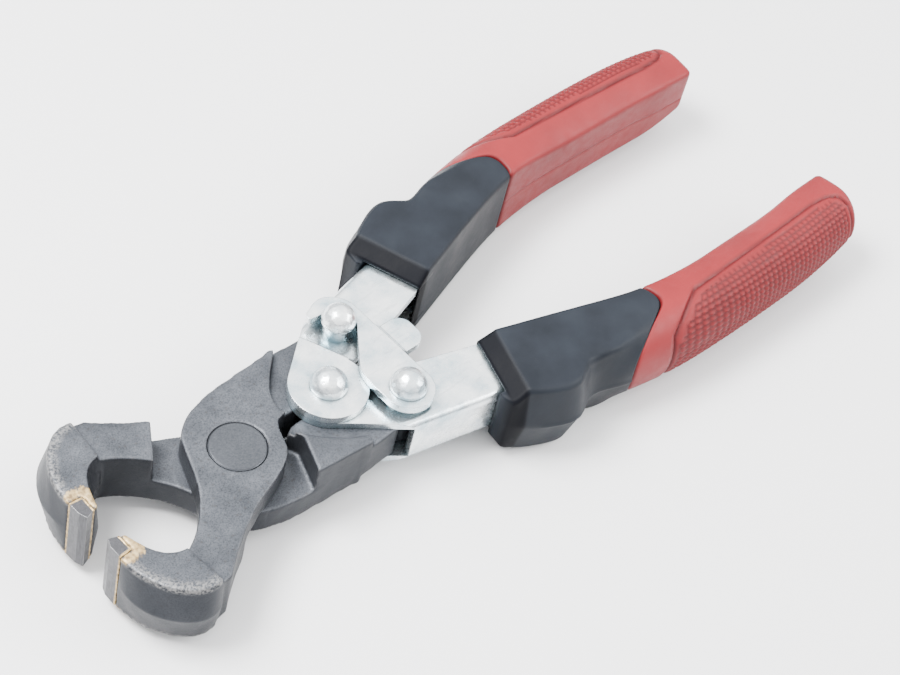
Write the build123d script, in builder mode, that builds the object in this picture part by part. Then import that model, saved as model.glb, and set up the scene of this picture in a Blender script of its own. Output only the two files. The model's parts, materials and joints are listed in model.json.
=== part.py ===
"""Compound tile nippers with carbide tips, a handle latch and two-colour grips.

The tool lies flat. +X runs from the jaws to the grips along the tool's middle line, +Y is the side
of the upper handle, and +Z is up. The origin is at the middle of the tool's outline, on the level
of its lowest point. Every outline below is drawn from the jaw pivot, in the tool's middle plane.
"""
import os
from math import acos, asin, atan2, cos, hypot, radians, sin

from build123d import *

os.makedirs("parts", exist_ok=True)

# Overall reach of the tool, measured from the jaw pivot.
TIP_REACH = 42.6
GRIP_REACH = 188.8

# Heights above and below the middle plane.
HOOK_HALF = 9.4
JAW_HALF = 7.5
PAD_HALF = 7.4
TAIL_HALF = 5.15
FLANGE_TOP = 7.2
SHEET = 2.0
FLANGE_BOTTOM = FLANGE_TOP - SHEET
PLATE_BOTTOM = 7.3
PLATE_TOP = PLATE_BOTTOM + SHEET
GRIP_HALF = 12.3
GRIP_HALF_WIDTH = 9.9
GRIP_ROUNDING = 8.5
COLLAR_HALF = 11.4
COLLAR_ROUNDING = 1.5
INLAY_DEPTH = 1.0
LAP_GAP = 0.05

# Pivots, from the jaw pivot.
HANDLE_PIVOT_X = 28.0
LINK_X = 42.0
LINK_Y = 12.4

# Rivets, pins and their clearances.
SHANK_RADIUS = 2.5
HEAD_RADIUS = 4.65
SMALL_HEAD_RADIUS = 4.3
HEAD_RIM = 0.8
TOP_DOME = 4.6
LOW_DOME = 2.9
RUNNING_FIT = 0.08
FACE_GAP = 0.1
OPEN_PIVOT_PLAY = 0.4
PIN_RADIUS = 4.0
PIN_HEAD_RADIUS = 7.0
PIN_HEAD_DEPTH = 2.0
SHOULDER_RADIUS = 3.5

# Handle channels.
CHANNEL_ANGLE = 16.5
EDGE_OFFSET = 8.95
WEB_ANGLE = 12.3
WEB_FRONT_X = 38.5
WEB_FRONT_Y = 20.0
UPPER_END_RADIUS = 9.8
LOWER_END_RADIUS = 9.6
BEND_RADIUS = 2.6
TANG_WIDTH = 11.0
TANG_START = 116.0
TANG_END = 177.0
EDGE_STRAIGHT = 31.5
GRIP_MIDDLE_Y = 32.6
GRIP_FRONT = 89.0
MOUTH_ANGLE = 19.6
MOUTH_HEIGHT = 8.4
MOUTH_BEVEL = 4.6
JOGGLE_X = 35.9
JOGGLE_Y = 9.3
JOGGLE_ANGLE = -66.5
JOGGLE_RUN = 1.8

# Latch.
LATCH_BOTTOM = 9.4
LATCH_THICKNESS = 2.0
LATCH_TOP = LATCH_BOTTOM + LATCH_THICKNESS
LATCH_END_RADIUS = 6.6
TAB_BOTTOM = 7.4
TAB_THICKNESS = 2.0
TAB_TOP = TAB_BOTTOM + TAB_THICKNESS
TAB_REACH = 57.6
TAB_MIDDLE_Y = 1.6
TAB_HALF_WIDTH = 4.8
SPACER_RADIUS = 5.2

# Return spring and its bush.
BUSH_RADIUS = 3.4
SPRING_RADIUS = 4.5
SPRING_WIRE = 0.7
SPRING_WHOLE_TURNS = 3
SPRING_PITCH = 1.45
SPRING_LEG_ANGLE = 8.0
SPRING_LEG_BEND = 4.0

JAW_PIVOT_X = (TIP_REACH - GRIP_REACH) / 2
MID_HEIGHT = GRIP_HALF
UPPER = 1
LOWER = -1


def level(height):
    """The plane of an outline, at a height above the tool's middle plane."""
    return Plane(origin=(JAW_PIVOT_X, 0, MID_HEIGHT + height))


def section(x, y, angle=0.0):
    """An upright plane through a point of the tool, its own x at an angle to the tool's +X."""
    heading = (cos(radians(angle)), sin(radians(angle)), 0)
    normal = (sin(radians(angle)), -cos(radians(angle)), 0)
    return Plane(origin=(JAW_PIVOT_X + x, y, MID_HEIGHT), x_dir=heading, z_dir=normal)


def pivot_axis(x, y):
    """The upright axis of a pivot."""
    return Axis((JAW_PIVOT_X + x, y, MID_HEIGHT), (0, 0, 1))


def along_channel(side, forward, outward):
    """A point of a handle channel: forward of its link pivot along the channel, then outward."""
    turn = radians(CHANNEL_ANGLE)
    x = LINK_X + forward * cos(turn) - outward * sin(turn)
    y = LINK_Y + forward * sin(turn) + outward * cos(turn)
    return (x, side * y)


def along_web(side, forward, inward):
    """A point of a channel's web: forward of its front edge, then inward from its outer face."""
    turn = radians(WEB_ANGLE)
    x = WEB_FRONT_X + forward * cos(turn) + inward * sin(turn)
    y = WEB_FRONT_Y + forward * sin(turn) - inward * cos(turn)
    return (x, side * y)


def tangent_point(radius, corner):
    """Where the line from a corner touches the round end of a plate about the handle pivot."""
    dx = corner[0] - HANDLE_PIVOT_X
    dy = corner[1]
    turn = acos(radius / hypot(dx, dy))
    heading = atan2(dy, dx) + turn * (1 if corner[1] > 0 else -1)
    return (HANDLE_PIVOT_X + radius * cos(heading), radius * sin(heading))


# ---------------------------------------------------------------- jaws

with BuildSketch() as boss_plan:
    with BuildLine():
        mouth = Spline((-28, -15.5), (-20, -10), (-14.5, -3), (-11.4, 4), (-9, 9.5))
        crown = Spline((-9, 9.5), (-4.5, 13.3), (3, 15.8), (12, 16.7), (24.5, 17.7))
        Line((24.5, 17.7), (26, 17.2))
        heel = Spline((26, 17.2), (20, 11.5), (16.2, 6.6), (15.3, 2.5))
        Polyline((15.3, 2.5), (15.8, 1), (13, 0.5))
        throat = Spline((13, 0.5), (10.8, -3), (9.2, -7), (5, -10.5), (-5, -14.5), (-14, -19.2), (-24, -26.5))
        Polyline((-24, -26.5), (-27, -26.7), (-28, -15.5))
    make_face()

with BuildSketch() as arm_plan:
    add(boss_plan.sketch)
    with BuildSketch(mode=Mode.INTERSECT):
        Polygon((-40, -30), (-10.6, -30), (-10.6, -18.5), (-18.8, -6.9), (-18.8, 20), (-40, 20), align=None)

with BuildSketch() as tail_plan:
    with BuildLine():
        Polyline((13, 3), (15.2, 1.6), (20.3, 1.2))
        inner = ThreePointArc(
            (20.3, 1.2),
            (HANDLE_PIVOT_X - 7.5 * cos(radians(50)), 7.5 * sin(radians(50))),
            (30.5, 6.95),
        )
        Line((30.5, 6.95), (LINK_X, LINK_Y - 3.9))
        eye = CenterArc((LINK_X, LINK_Y), 3.9, -90, 235)
        Polyline(eye @ 1, (36.0, 17.1), (26, 17.7), (10.5, 16.5), (14.5, 6.5), (13, 3))
    make_face()

with BuildSketch() as pad_plan:
    with BuildLine():
        Polyline((13, 3), (14.5, 6.5), (10.5, 16.5), (27, 17.8), (27.4, 15.5))
        Spline((27.4, 15.5), (19.2, 10.2), (16, 7), (13, 3))
    make_face()



def hook_outline(outer, inner):
    """The hook seen from above, from its crease to the flat that carries the carbide tip."""
    with BuildSketch() as plan:
        with BuildLine():
            back = Spline(*outer)
            seat = Polyline(back @ 1, (-38.0, -8.7), (-38.1, -4.3), inner[0])
            front = Spline(*inner)
            Line(front @ 1, back @ 0)
        make_face()
    return plan.sketch


HOOK_RIM = hook_outline(
    [(-27, -26.7), (-31, -26.8), (-36.5, -23), (-39.8, -17.5), (-41.6, -9.0)],
    [(-36.8, -4.7), (-35.3, -9.5), (-32.6, -13.7), (-28, -15.5)],
)
HOOK_MIDDLE = hook_outline(
    [(-26.8, -27.6), (-31.4, -28.7), (-38.1, -24.6), (-41.9, -18), (-41.6, -9.0)],
    [(-35.6, -4.9), (-33.6, -9.0), (-31.2, -12.4), (-27.6, -14.2)],
)

with BuildPart() as front_jaw:
    with BuildSketch(level(LAP_GAP)):
        add(boss_plan.sketch)
    extrude(amount=JAW_HALF - LAP_GAP)
    with BuildSketch(level(-JAW_HALF)):
        add(arm_plan.sketch)
    extrude(amount=2 * JAW_HALF)
    for rim_height in (HOOK_HALF, -HOOK_HALF):
        with BuildSketch(level(0)):
            add(HOOK_MIDDLE)
        with BuildSketch(level(rim_height)):
            add(HOOK_RIM)
        loft(ruled=True)
    with BuildSketch(level(-TAIL_HALF)):
        add(tail_plan.sketch)
    extrude(amount=2 * TAIL_HALF)
    with BuildSketch(level(-PAD_HALF)):
        add(pad_plan.sketch)
    extrude(amount=PAD_HALF)
    with BuildSketch(level(-JAW_HALF)):
        Circle(PIN_RADIUS + RUNNING_FIT)
        with Locations((LINK_X, LINK_Y)):
            Circle(SHANK_RADIUS + RUNNING_FIT)
    extrude(amount=2 * JAW_HALF, mode=Mode.SUBTRACT)
    with BuildSketch(level(JAW_HALF)):
        Circle(PIN_HEAD_RADIUS + RUNNING_FIT)
    extrude(amount=-PIN_HEAD_DEPTH - LAP_GAP, mode=Mode.SUBTRACT)
front_jaw.part.label = "front_jaw"

FLIP = Axis((JAW_PIVOT_X, 0, MID_HEIGHT), (1, 0, 0))

with BuildPart() as back_jaw:
    add(front_jaw.part.rotate(FLIP, 180))
back_jaw.part.label = "back_jaw"

with BuildPart() as jaw_pivot_pin:
    with BuildSketch(section(0, 0)):
        with BuildLine():
            Polyline(
                (0, -JAW_HALF),
                (PIN_HEAD_RADIUS, -JAW_HALF),
                (PIN_HEAD_RADIUS, -JAW_HALF + PIN_HEAD_DEPTH),
                (PIN_RADIUS, -JAW_HALF + PIN_HEAD_DEPTH),
                (PIN_RADIUS, JAW_HALF - PIN_HEAD_DEPTH),
                (PIN_HEAD_RADIUS, JAW_HALF - PIN_HEAD_DEPTH),
                (PIN_HEAD_RADIUS, JAW_HALF),
                (0, JAW_HALF),
                close=True,
            )
        make_face()
    revolve(axis=pivot_axis(0, 0))
    head_rims = jaw_pivot_pin.edges().filter_by(GeomType.CIRCLE).group_by(Axis.Z)
    chamfer(head_rims[0] + head_rims[-1], 0.35)
jaw_pivot_pin.part.label = "jaw_pivot_pin"

with BuildPart() as front_carbide_tip:
    with BuildSketch(level(-HOOK_HALF)):
        Polygon((-40.6, -3.5), (-38.6, -4.2), (-38.5, -8.2), (-41.5, -8.5), (-41.4, -5.4), align=None)
    extrude(amount=2 * HOOK_HALF)
front_carbide_tip.part.label = "front_carbide_tip"

with BuildPart() as back_carbide_tip:
    add(front_carbide_tip.part.rotate(FLIP, 180))
back_carbide_tip.part.label = "back_carbide_tip"

with BuildPart() as front_braze_seam:
    with BuildSketch(level(-HOOK_HALF)):
        Polygon(
            (-38.6, -4.2),
            (-38.1, -4.3),
            (-38.0, -8.7),
            (-41.6, -9.0),
            (-41.5, -8.5),
            (-38.5, -8.2),
            align=None,
        )
    extrude(amount=2 * HOOK_HALF)
front_braze_seam.part.label = "front_braze_seam"

with BuildPart() as back_braze_seam:
    add(front_braze_seam.part.rotate(FLIP, 180))
back_braze_seam.part.label = "back_braze_seam"


# ---------------------------------------------------------------- handle channels

WEB_CORNER = (WEB_FRONT_X, WEB_FRONT_Y)
TANG_OUTER_Y = GRIP_MIDDLE_Y + TANG_WIDTH / 2
TANG_INNER_Y = GRIP_MIDDLE_Y - TANG_WIDTH / 2
WEB_LENGTH = (TANG_OUTER_Y - WEB_FRONT_Y) / sin(radians(WEB_ANGLE))
OUTER_BEND = along_web(UPPER, WEB_LENGTH, 0)
INNER_BEND = along_channel(UPPER, EDGE_STRAIGHT, -EDGE_OFFSET)
WEB_BEND = along_web(UPPER, WEB_LENGTH, SHEET)


def flange_plan(side, end_radius):
    """One flange seen from above: a round end about the handle pivot, the channel and its tang."""
    corner = (WEB_CORNER[0], side * WEB_CORNER[1])
    touch = tangent_point(end_radius, corner)
    with BuildSketch() as plan:
        Polygon(
            (HANDLE_PIVOT_X, 0),
            touch,
            corner,
            (OUTER_BEND[0], side * OUTER_BEND[1]),
            (TANG_END, side * TANG_OUTER_Y),
            (TANG_END, side * TANG_INNER_Y),
            (TANG_START, side * TANG_INNER_Y),
            (INNER_BEND[0], side * INNER_BEND[1]),
            along_channel(side, 1.0, -EDGE_OFFSET),
            (36.0, side * 3.0),
            align=None,
        )
        with Locations((HANDLE_PIVOT_X, 0)):
            Circle(end_radius)
    return plan.sketch


def hollow_plan(side):
    """The space between a channel's flanges, open at the front and on the inner side."""
    front_inside = along_web(side, 0, SHEET)
    front_outside = along_web(side, 0, -5)
    with BuildSketch() as plan:
        Polygon(
            front_inside,
            front_outside,
            (5, side * 40),
            (5, side * -12),
            (TANG_END + 5, side * -12),
            (TANG_END + 5, side * (TANG_OUTER_Y - SHEET)),
            (WEB_BEND[0], side * WEB_BEND[1]),
            align=None,
        )
    return plan.sketch


def web_edges(channel, side):
    """The long outer edges where the web turns into the flanges."""
    web_middle_x = (WEB_CORNER[0] + OUTER_BEND[0]) / 2
    web_middle_y = side * (WEB_CORNER[1] + OUTER_BEND[1]) / 2
    tang_middle_x = (OUTER_BEND[0] + TANG_END) / 2
    spots = [(web_middle_x, web_middle_y), (tang_middle_x, side * TANG_OUTER_Y)]
    edges = ShapeList()
    for x, y in spots:
        for height in (-FLANGE_TOP, FLANGE_TOP):
            spot = (JAW_PIVOT_X + x, y, MID_HEIGHT + height)
            edges.append(channel.edges().sort_by_distance(spot)[0])
    return edges


UPPER_FLANGE = flange_plan(UPPER, UPPER_END_RADIUS)
LOWER_FLANGE = flange_plan(LOWER, LOWER_END_RADIUS)
UPPER_HOLLOW = hollow_plan(UPPER)
LOWER_HOLLOW = hollow_plan(LOWER)
JOGGLE = section(JOGGLE_X, JOGGLE_Y, JOGGLE_ANGLE + 90)

with BuildPart() as raised_plate:
    with BuildSketch(JOGGLE):
        Polygon(
            (-32, PLATE_BOTTOM),
            (-JOGGLE_RUN / 2, PLATE_BOTTOM),
            (JOGGLE_RUN / 2, FLANGE_BOTTOM),
            (JOGGLE_RUN / 2 + 0.5, FLANGE_BOTTOM),
            (JOGGLE_RUN / 2 + 0.5, FLANGE_TOP),
            (JOGGLE_RUN / 2, FLANGE_TOP),
            (-JOGGLE_RUN / 2, PLATE_TOP),
            (-32, PLATE_TOP),
            align=None,
        )
    extrude(amount=25, both=True)
    with BuildSketch(level(0)):
        add(UPPER_FLANGE)
    extrude(amount=PLATE_TOP + 1, mode=Mode.INTERSECT)

with BuildPart() as upper_handle_channel:
    with BuildSketch(level(-FLANGE_TOP)):
        add(UPPER_FLANGE)
    extrude(amount=2 * FLANGE_TOP)
    fillet(web_edges(upper_handle_channel, UPPER), BEND_RADIUS)
    with BuildSketch(level(-FLANGE_BOTTOM)):
        add(UPPER_HOLLOW)
    extrude(amount=2 * FLANGE_BOTTOM, mode=Mode.SUBTRACT)
    with BuildSketch(JOGGLE):
        with Locations((JOGGLE_RUN / 2 - 25, 0)):
            Rectangle(50, 4 * FLANGE_TOP)
    extrude(amount=25, both=True, mode=Mode.SUBTRACT)
    add(raised_plate.part)
    add(raised_plate.part.mirror(level(0)))
    with BuildSketch(level(-PLATE_TOP)):
        with Locations((HANDLE_PIVOT_X, 0)):
            Circle(SHANK_RADIUS + OPEN_PIVOT_PLAY)
        with Locations((LINK_X, LINK_Y)):
            Circle(SHANK_RADIUS)
    extrude(amount=2 * PLATE_TOP, mode=Mode.SUBTRACT)
upper_handle_channel.part.label = "upper_handle_channel"

with BuildPart() as lower_handle_channel:
    with BuildSketch(level(-FLANGE_TOP)):
        add(LOWER_FLANGE)
    extrude(amount=2 * FLANGE_TOP)
    fillet(web_edges(lower_handle_channel, LOWER), BEND_RADIUS)
    with BuildSketch(level(-FLANGE_BOTTOM)):
        add(LOWER_HOLLOW)
    extrude(amount=2 * FLANGE_BOTTOM, mode=Mode.SUBTRACT)
    with BuildSketch(level(-FLANGE_TOP)):
        with Locations((HANDLE_PIVOT_X, 0), (LINK_X, -LINK_Y)):
            Circle(SHANK_RADIUS)
    extrude(amount=2 * FLANGE_TOP, mode=Mode.SUBTRACT)
lower_handle_channel.part.label = "lower_handle_channel"


# ---------------------------------------------------------------- rivets, spacer, bush and spring

def dome_middle(radius, rim, apex):
    """A point halfway along the round outline of a head, from its rim to its apex on the axis."""
    rise = apex - rim
    sphere = (radius**2 + rise**2) / (2 * abs(rise))
    half = asin(radius / sphere) / 2
    drop = sphere * (1 - cos(half))
    return (sphere * sin(half), apex - drop if rise > 0 else apex + drop)


def rivet_profile(lowest, highest, radius=HEAD_RADIUS, neck_from=None):
    """Half of a domed rivet: its shank between two heads, thicker above neck_from if that is given."""
    shank = [(SHANK_RADIUS, lowest), (SHANK_RADIUS, highest)]
    if neck_from is not None:
        neck = [(SHANK_RADIUS, neck_from), (SHOULDER_RADIUS, neck_from), (SHOULDER_RADIUS, highest)]
        shank = shank[:1] + neck
    low_rim = lowest - HEAD_RIM / 2
    low_apex = lowest - LOW_DOME
    top_rim = highest + HEAD_RIM
    top_apex = highest + TOP_DOME
    with BuildSketch() as profile:
        with BuildLine():
            foot = ThreePointArc((0, low_apex), dome_middle(radius, low_rim, low_apex), (radius, low_rim))
            Polyline(foot @ 1, (radius, lowest), *shank, (radius, highest), (radius, top_rim))
            dome = ThreePointArc((radius, top_rim), dome_middle(radius, top_rim, top_apex), (0, top_apex))
            Line(dome @ 1, foot @ 0)
        make_face()
    return profile.sketch


HANDLE_RIVET_PROFILE = rivet_profile(-PLATE_TOP - FACE_GAP, PLATE_TOP + FACE_GAP)
UPPER_RIVET_PROFILE = rivet_profile(-FLANGE_TOP, LATCH_TOP + FACE_GAP, SMALL_HEAD_RADIUS, FLANGE_TOP)
LOWER_RIVET_PROFILE = rivet_profile(-FLANGE_TOP, LATCH_TOP + FACE_GAP)

with BuildPart() as handle_pivot_rivet:
    with BuildSketch(section(HANDLE_PIVOT_X, 0)):
        add(HANDLE_RIVET_PROFILE)
    revolve(axis=pivot_axis(HANDLE_PIVOT_X, 0))
handle_pivot_rivet.part.label = "handle_pivot_rivet"

with BuildPart() as upper_link_rivet:
    with BuildSketch(section(LINK_X, LINK_Y)):
        add(UPPER_RIVET_PROFILE)
    revolve(axis=pivot_axis(LINK_X, LINK_Y))
upper_link_rivet.part.label = "upper_link_rivet"

with BuildPart() as lower_link_rivet:
    with BuildSketch(section(LINK_X, -LINK_Y)):
        add(LOWER_RIVET_PROFILE)
    revolve(axis=pivot_axis(LINK_X, -LINK_Y))
lower_link_rivet.part.label = "lower_link_rivet"

with BuildPart() as latch_spacer:
    with BuildSketch(level(FLANGE_TOP)):
        with Locations((LINK_X, -LINK_Y)):
            Circle(SPACER_RADIUS)
            Circle(SHANK_RADIUS, mode=Mode.SUBTRACT)
    extrude(amount=LATCH_BOTTOM - FACE_GAP - FLANGE_TOP)
latch_spacer.part.label = "latch_spacer"

with BuildPart() as pivot_bush:
    with BuildSketch(level(-FLANGE_BOTTOM)):
        with Locations((HANDLE_PIVOT_X, 0)):
            Circle(BUSH_RADIUS)
            Circle(SHANK_RADIUS, mode=Mode.SUBTRACT)
    extrude(amount=2 * FLANGE_BOTTOM)
pivot_bush.part.label = "pivot_bush"

SPRING_TURNS = SPRING_WHOLE_TURNS + (180 - 2 * SPRING_LEG_ANGLE) / 360
SPRING_HEIGHT = SPRING_TURNS * SPRING_PITCH


def leg_points(side, start, heading):
    """A spring leg: straight off the coil, past the jaw's eye and out to the inside of the web."""
    straight = start + heading * 21.0
    turn_x = JAW_PIVOT_X + HANDLE_PIVOT_X + 27.5
    end_x = JAW_PIVOT_X + HANDLE_PIVOT_X + 36.5
    return [start, straight, Vector(turn_x, side * 13.2, straight.Z), Vector(end_x, side * 23.0, straight.Z)]


coil_edge = Helix(
    pitch=SPRING_PITCH,
    height=SPRING_HEIGHT,
    radius=SPRING_RADIUS,
    center=(JAW_PIVOT_X + HANDLE_PIVOT_X, 0, MID_HEIGHT - SPRING_HEIGHT / 2),
).rotate(pivot_axis(HANDLE_PIVOT_X, 0), 90 + SPRING_LEG_ANGLE)
upper_leg_points = leg_points(UPPER, coil_edge @ 0, -(coil_edge % 0))
lower_leg_points = leg_points(LOWER, coil_edge @ 1, coil_edge % 1)

with BuildPart() as return_spring:
    with BuildLine() as spring_line:
        FilletPolyline(*reversed(upper_leg_points), radius=SPRING_LEG_BEND)
        add(coil_edge)
        FilletPolyline(*lower_leg_points, radius=SPRING_LEG_BEND)
    spring_start = upper_leg_points[-1]
    start_heading = upper_leg_points[-2] - upper_leg_points[-1]
    with BuildSketch(Plane(origin=spring_start, z_dir=start_heading)):
        Circle(SPRING_WIRE)
    sweep(path=spring_line.line)
return_spring.part.label = "return_spring"


# ---------------------------------------------------------------- latch

with BuildSketch() as latch_plan:
    with BuildLine():
        bottom = CenterArc((LINK_X, -LINK_Y), LATCH_END_RADIUS, 180, 180)
        right = Line(bottom @ 1, (LINK_X + LATCH_END_RADIUS, 13.0))
        top = Spline(right @ 1, (47.0, 18.0), (43.6, 20.2), (39.4, 19.6), tangents=[(0, 1), (-0.9, -0.4)])
        lip = Spline(top @ 1, (36.7, 17.7), (37.2, 16.7), tangents=[(-0.9, -0.4), (1, -0.1)])
        ramp = Line(lip @ 1, (41.95, 16.17))
        notch = ThreePointArc((41.95, 16.17), (44.67, 15.07), (45.77, 12.4))
        Polyline(notch @ 1, (45.2, 9.2), (37.1, -0.7))
        Spline((37.1, -0.7), (35.6, -4.6), bottom @ 0, tangents=[(-0.63, -0.77), (0, -1)])
    make_face()

with BuildPart() as latch_plate:
    with BuildSketch(level(LATCH_BOTTOM)):
        add(latch_plan.sketch)
        with Locations((LINK_X, -LINK_Y)):
            Circle(SHANK_RADIUS + RUNNING_FIT, mode=Mode.SUBTRACT)
    extrude(amount=LATCH_THICKNESS)
    with BuildSketch(section(0, TAB_MIDDLE_Y)):
        Polygon(
            (LINK_X + LATCH_END_RADIUS - 1.6, LATCH_BOTTOM),
            (LINK_X + LATCH_END_RADIUS - 1.6, LATCH_TOP),
            (LINK_X + LATCH_END_RADIUS, LATCH_TOP),
            (50.6, TAB_TOP),
            (TAB_REACH, TAB_TOP),
            (TAB_REACH, TAB_BOTTOM),
            (49.8, TAB_BOTTOM),
            (LINK_X + LATCH_END_RADIUS - 0.9, LATCH_BOTTOM),
            align=None,
        )
    extrude(amount=TAB_HALF_WIDTH, both=True)
    tab_corners = latch_plate.edges().filter_by(Axis.Z).group_by(Axis.X)[-1]
    fillet(tab_corners, 3.6)
latch_plate.part.label = "latch_plate"


# ---------------------------------------------------------------- collars and grips

def grip_plan(side):
    """The outer edge of collar and grip together, seen from above."""
    bump = [(69.5, 36.2), (77.5, 38.9), (85.5, 36.0), (96, 38.6), (115, 41.6), (135, 42.6), (160, 42.6)]
    end = [(180, 41.4), (185.6, 40.2), (188.3, 36.6), (GRIP_REACH, 31.5), (188.2, 26.8), (185.4, 23.9)]
    inside = [(178, 23.7), (165, 24.5), (145, 24.7), (126, 24.5), (108, 22.2)]
    with BuildSketch() as plan:
        with BuildLine():
            front = Line((68.2, side * 10.4), (61.2, side * 30.0))
            turn = Spline(
                front @ 1,
                *[(x, side * y) for x, y in bump + end + inside],
                tangents=[(0.5, side), (-1, side * -0.3)],
            )
            Line(turn @ 1, front @ 0)
        make_face()
    return plan.sketch


def collar_plan(side):
    """The part of the outline that the black collar covers, up to its curved joint with the grip."""
    whole = grip_plan(side)
    with BuildSketch() as plan:
        add(whole)
        with BuildSketch(mode=Mode.INTERSECT):
            with BuildLine():
                joint = Spline(
                    (95.5, side * 46),
                    (97.5, side * 38.6),
                    (105, side * 35.0),
                    (112.3, side * 31.2),
                    (114.2, side * 26.2),
                    (112.5, side * 20),
                )
                Polyline(joint @ 1, (60, side * 0), (50, side * 46), joint @ 0)
            make_face()
    return plan.sketch


def channel_block_plan(side):
    """The outer edge of the channel inside a grip, with its open side closed off."""
    with BuildSketch() as plan:
        Polygon(
            along_channel(side, 15, -EDGE_OFFSET),
            along_web(side, 15, 0),
            (OUTER_BEND[0], side * OUTER_BEND[1]),
            (TANG_END, side * TANG_OUTER_Y),
            (TANG_END, side * TANG_INNER_Y),
            (TANG_START, side * TANG_INNER_Y),
            (INNER_BEND[0], side * INNER_BEND[1]),
            align=None,
        )
    return plan.sketch


def mouth_bevel(side):
    """The wedge cut off the top of a collar, down to the mouth that the channel comes out of."""
    with BuildPart() as wedge:
        with BuildSketch(section(64.7, side * 20.2, side * MOUTH_ANGLE)):
            Polygon(
                (-10, MOUTH_HEIGHT),
                (0, MOUTH_HEIGHT),
                (MOUTH_BEVEL, COLLAR_HALF),
                (MOUTH_BEVEL, COLLAR_HALF + 2),
                (-10, COLLAR_HALF + 2),
                align=None,
            )
        extrude(amount=25, both=True)
    return wedge.part


def collar_part(side, name):
    """A black rubber collar, slipped over the channel as far as its bevelled front mouth."""
    outline = collar_plan(side)
    channel = channel_block_plan(side)
    bevel = mouth_bevel(side)
    with BuildPart() as collar:
        with BuildSketch(level(-COLLAR_HALF)):
            add(outline)
        extrude(amount=2 * COLLAR_HALF)
        rims = collar.edges().group_by(Axis.Z)
        outer_rims = (rims[0] + rims[-1]).filter_by(lambda rim: rim.center().X < JAW_PIVOT_X + 100)
        fillet(outer_rims, COLLAR_ROUNDING)
        with BuildSketch(level(-FLANGE_TOP)):
            add(channel)
        extrude(amount=2 * FLANGE_TOP, mode=Mode.SUBTRACT)
        add(bevel, mode=Mode.SUBTRACT)
        add(bevel.mirror(level(0)), mode=Mode.SUBTRACT)
    collar.part.label = name
    return collar


def inlay_plan(side):
    """The region of the textured inlay: a long panel on the outer half of the grip."""
    with BuildSketch() as plan:
        with BuildLine():
            Polyline((109.0, side * 46.0), (111.2, side * 39.2), (123.5, side * 33.0), (174.0, side * 31.2))
            turn = Spline(
                (174.0, side * 31.2),
                (182.2, side * 32.3),
                (185.0, side * 36.2),
                (185.0, side * 46.0),
                tangents=[(1, side * -0.04), (0, side * 1)],
            )
            Line(turn @ 1, (109.0, side * 46.0))
        make_face()
    return plan.sketch


def oval_bar(side, inset):
    """A long bar with the grip's full, rounded section, or a smaller one inset from it."""
    start = (JAW_PIVOT_X + GRIP_FRONT, side * GRIP_MIDDLE_Y, MID_HEIGHT)
    with BuildPart() as bar:
        with BuildSketch(Plane(origin=start, x_dir=(0, 1, 0), z_dir=(1, 0, 0))):
            RectangleRounded(2 * (GRIP_HALF_WIDTH - inset), 2 * (GRIP_HALF - inset), GRIP_ROUNDING - inset)
        extrude(amount=GRIP_REACH - GRIP_FRONT - inset)
    return bar.part


def grip_body(side):
    """The whole red handle, inlay included, before it is hollowed for the tang."""
    outline = grip_plan(side)
    collar = collar_plan(side)
    oval = oval_bar(side, 0)
    with BuildPart() as body:
        with BuildSketch(level(-GRIP_HALF)):
            add(outline)
            add(collar, mode=Mode.SUBTRACT)
        extrude(amount=2 * GRIP_HALF)
        add(oval, mode=Mode.INTERSECT)
    return body.part


def inlay_part(side, name):
    """A soft inlay that wraps the top, outer side and underside of a grip."""
    whole = grip_body(side)
    panel = inlay_plan(side)
    core = oval_bar(side, INLAY_DEPTH)
    with BuildPart() as inlay:
        add(whole)
        with BuildSketch(level(-GRIP_HALF)):
            add(panel)
        extrude(amount=2 * GRIP_HALF, mode=Mode.INTERSECT)
        add(core, mode=Mode.SUBTRACT)
    inlay.part.label = name
    return inlay


def grip_part(side, inlay, name):
    """A red grip sleeve, closed over the end of the channel's tang and recessed for its inlay."""
    whole = grip_body(side)
    channel = channel_block_plan(side)
    with BuildPart() as grip:
        add(whole)
        with BuildSketch(level(-FLANGE_TOP)):
            add(channel)
        extrude(amount=2 * FLANGE_TOP, mode=Mode.SUBTRACT)
        add(inlay.part, mode=Mode.SUBTRACT)
    grip.part.label = name
    return grip


upper_collar = collar_part(UPPER, "upper_collar")
lower_collar = collar_part(LOWER, "lower_collar")
upper_grip_inlay = inlay_part(UPPER, "upper_grip_inlay")
lower_grip_inlay = inlay_part(LOWER, "lower_grip_inlay")
upper_grip = grip_part(UPPER, upper_grip_inlay, "upper_grip")
lower_grip = grip_part(LOWER, lower_grip_inlay, "lower_grip")

export_step(front_jaw.part, "parts/front_jaw.step")
export_step(back_jaw.part, "parts/back_jaw.step")
export_step(front_carbide_tip.part, "parts/front_carbide_tip.step")
export_step(back_carbide_tip.part, "parts/back_carbide_tip.step")
export_step(front_braze_seam.part, "parts/front_braze_seam.step")
export_step(back_braze_seam.part, "parts/back_braze_seam.step")
export_step(jaw_pivot_pin.part, "parts/jaw_pivot_pin.step")
export_step(upper_handle_channel.part, "parts/upper_handle_channel.step")
export_step(lower_handle_channel.part, "parts/lower_handle_channel.step")
export_step(handle_pivot_rivet.part, "parts/handle_pivot_rivet.step")
export_step(upper_link_rivet.part, "parts/upper_link_rivet.step")
export_step(lower_link_rivet.part, "parts/lower_link_rivet.step")
export_step(latch_spacer.part, "parts/latch_spacer.step")
export_step(pivot_bush.part, "parts/pivot_bush.step")
export_step(return_spring.part, "parts/return_spring.step")
export_step(latch_plate.part, "parts/latch_plate.step")
export_step(upper_collar.part, "parts/upper_collar.step")
export_step(lower_collar.part, "parts/lower_collar.step")
export_step(upper_grip.part, "parts/upper_grip.step")
export_step(lower_grip.part, "parts/lower_grip.step")
export_step(upper_grip_inlay.part, "parts/upper_grip_inlay.step")
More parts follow.
